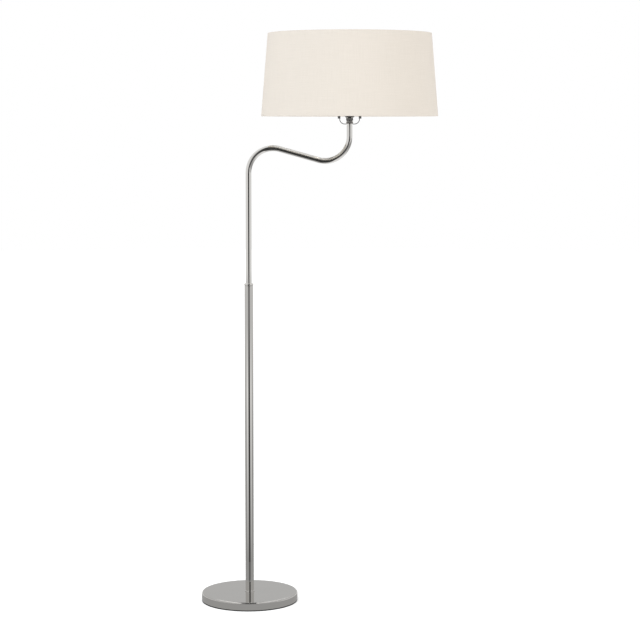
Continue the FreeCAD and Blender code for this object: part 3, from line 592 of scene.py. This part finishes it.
SHROUD_RADIUS = 80 * MM
SHROUD_DEPTH = 57 * MM
SHROUD_LIFT = 2 * MM


def make_shroud():
    """Dark sleeve round the lamp holder, clear from outside, that its upright faces show."""
    centre = (ARM_X, 0, NECK_LOW[2] + SHROUD_LIFT + SHROUD_DEPTH / 2)
    tree, _ = make_reflector("shroud", SHROUD_RADIUS, centre, SHROUD_DEPTH)
    glow_one_side(tree, colour(0.14, 0.14, 0.14), back=True)


def band(tree, value, low, high, soft):
    """One between two values, falling smoothly to nought outside them."""
    rise = tree.span(value, 0.0, 1.0, low - soft, low + soft)
    fall = tree.span(value, 1.0, 0.0, high - soft, high + soft)
    return tree.maths("MULTIPLY", rise, fall)


def layered(tree, under, mask, level):
    """Lay one brightness over another where the mask is one."""
    return tree.maths("MULTIPLY_ADD", mask, tree.maths("SUBTRACT", level, under), under)


# Brightness of the studio by elevation in degrees, in four zones round the lamp
GAP_LEVELS = ((-16, 0.03), (-14.5, 0.08), (-13, 0.08), (-10, 0.05), (-8, 0.08), (-7, 0.12),
              (-6, 0.20), (-5, 0.22), (-4.4, 0.02), (-1.2, 0.02), (-0.8, 0.22), (-0.16, 0.22),
              (-0.05, 0.05), (4, 0.05))
INNER_LEVELS = ((-16, 0.42), (-13, 0.38), (-12.3, 0.52), (-10.3, 0.75), (-8, 0.95), (-7, 0.80),
                (-6, 0.66), (-5, 0.66), (-4.4, 0.88), (4, 0.90))
OUTER_LEVELS = ((-16, 0.40), (-14.2, 0.36), (-10.3, 0.37), (-8, 0.52), (-6, 0.66), (-5, 0.66),
                (-4.4, 0.86), (4, 0.90))
BACK_LEVELS = ((-16, 0.95), (-14.6, 0.60), (-14.2, 0.40), (-10, 0.42), (-6, 0.66), (-5, 0.70),
               (-4.3, 0.95), (6, 0.95), (10, 0.53), (19, 0.53), (26, 0.90), (28, 0.90))
WHITE_FLAT = 0.95

# Where the zones begin and end, in degrees: away from the front, in elevation, and in pitch
OUTER_ZONE = (68, 76)
BACK_ZONE = (125, 150)
LOW_ZONE = (-25, -45)
GAP_PITCH = (-66, 59)
OVERHEAD_PITCH = 150
PITCH_SOFTNESS = 4

# Edges of the dark gap as distances to the left and right, by elevation
GAP_LEFT = ((-4, 0.335), (8, 0.335), (20, 0.50), (28, 0.50))
GAP_LEFT_SOFTNESS = ((-4, 0.05), (5, 0.05), (20, 0.28), (28, 0.28))
GAP_RIGHT = ((-24, 0.25), (-20, 0.25), (-14, 0.475), (0, 0.475))
GAP_RIGHT_SOFTNESS = 0.04


def reflected_room(tree, direction):
    """Brightness of the studio in a direction: white flats each side, a dark gap towards the front."""
    parts = tree.add("ShaderNodeSeparateXYZ", {0: direction})
    sideways, depth, up = parts.outputs[0], parts.outputs[1], parts.outputs[2]
    towards_front = tree.maths("MULTIPLY", depth, -1.0)
    aside = tree.maths("ABSOLUTE", tree.maths("ARCTAN2", sideways, towards_front))
    pitch = tree.maths("ARCTAN2", up, towards_front)
    elevation = tree.maths("ARCSINE", up)
    level = tree.ramp(elevation, INNER_LEVELS)
    outer = tree.span(aside, 0.0, 1.0, OUTER_ZONE[0] * DEGREE, OUTER_ZONE[1] * DEGREE)
    level = layered(tree, level, outer, tree.ramp(elevation, OUTER_LEVELS))
    low = tree.span(elevation, 0.0, 1.0, LOW_ZONE[0] * DEGREE, LOW_ZONE[1] * DEGREE)
    level = layered(tree, level, low, WHITE_FLAT)
    back = tree.span(aside, 0.0, 1.0, BACK_ZONE[0] * DEGREE, BACK_ZONE[1] * DEGREE)
    level = layered(tree, level, back, tree.ramp(elevation, BACK_LEVELS))
    left = tree.maths("ADD", sideways, tree.ramp(elevation, GAP_LEFT))
    softness = tree.ramp(elevation, GAP_LEFT_SOFTNESS)
    rise = tree.span(left, 0.0, 1.0, tree.maths("MULTIPLY", softness, -1.0), softness)
    right = tree.maths("SUBTRACT", tree.ramp(elevation, GAP_RIGHT), sideways)
    fall = tree.span(right, 0.0, 1.0, -GAP_RIGHT_SOFTNESS, GAP_RIGHT_SOFTNESS)
    ahead = band(tree, pitch, GAP_PITCH[0] * DEGREE, GAP_PITCH[1] * DEGREE, PITCH_SOFTNESS * DEGREE)
    gap = tree.maths("MULTIPLY", tree.maths("MULTIPLY", rise, fall), ahead)
    level = layered(tree, level, gap, tree.ramp(elevation, GAP_LEVELS))
    above = band(tree, pitch, GAP_PITCH[1] * DEGREE, OVERHEAD_PITCH * DEGREE, PITCH_SOFTNESS * DEGREE)
    return layered(tree, level, above, WHITE_FLAT)


def make_world():
    """Soft studio: white seen directly, white flats and a dark gap in the reflections."""
    world = bpy.data.worlds.new("studio")
    bpy.context.scene.world = world
    world.use_nodes = True
    tree = Tree(world.node_tree)
    direction = tree.add("ShaderNodeTexCoord").outputs["Generated"]
    room = reflected_room(tree, direction)
    light_path = tree.add("ShaderNodeLightPath")
    height = tree.add("ShaderNodeSeparateXYZ", {0: direction}).outputs[2]
    soft = tree.span(height, 0.74, 1.03, -0.3, 0.9)
    lit = tree.blend(light_path.outputs["Is Glossy Ray"], soft, room)
    seen = tree.blend(light_path.outputs["Is Camera Ray"], lit, colour(1, 1, 1))
    background = tree.add("ShaderNodeBackground", {"Color": seen, "Strength": 1.0})
    output = tree.add("ShaderNodeOutputWorld")
    tree.tree.links.new(background.outputs[0], output.inputs["Surface"])


# Name, place, power and tint of each light
LIGHTS = (("key", (-3.2, -3.0, 3.4), 92, (0.93, 0.99, 1.06)),
          ("fill", (3.6, -2.4, 2.2), 44, (1.0, 1.0, 1.0)))
LIGHT_SIZE = 2.4
LIGHT_AIM_HEIGHT = 0.8


def make_lights():
    """Large soft light from the upper left, and a weaker one from the right."""
    for name, place, power, tint in LIGHTS:
        data = bpy.data.lights.new(name, "AREA")
        data.size = LIGHT_SIZE
        data.color = tint
        data.energy = power
        lamp = bpy.data.objects.new(name, data)
        lamp.location = place
        aim = Vector((ARM_X / 2, 0, LIGHT_AIM_HEIGHT)) - Vector(place)
        lamp.rotation_euler = aim.to_track_quat("-Z", "Y").to_euler()
        lamp.visible_glossy = False
        bpy.context.scene.collection.objects.link(lamp)


make_camera()
bpy.context.scene.view_settings.view_transform = "Standard"
finishes = dress_nodes()
make_shade_cloth(finishes["linen"])
make_floor()
make_floor_reflection()
make_overhead_card()
make_underside_card()
make_shroud()
make_world()
make_lights()
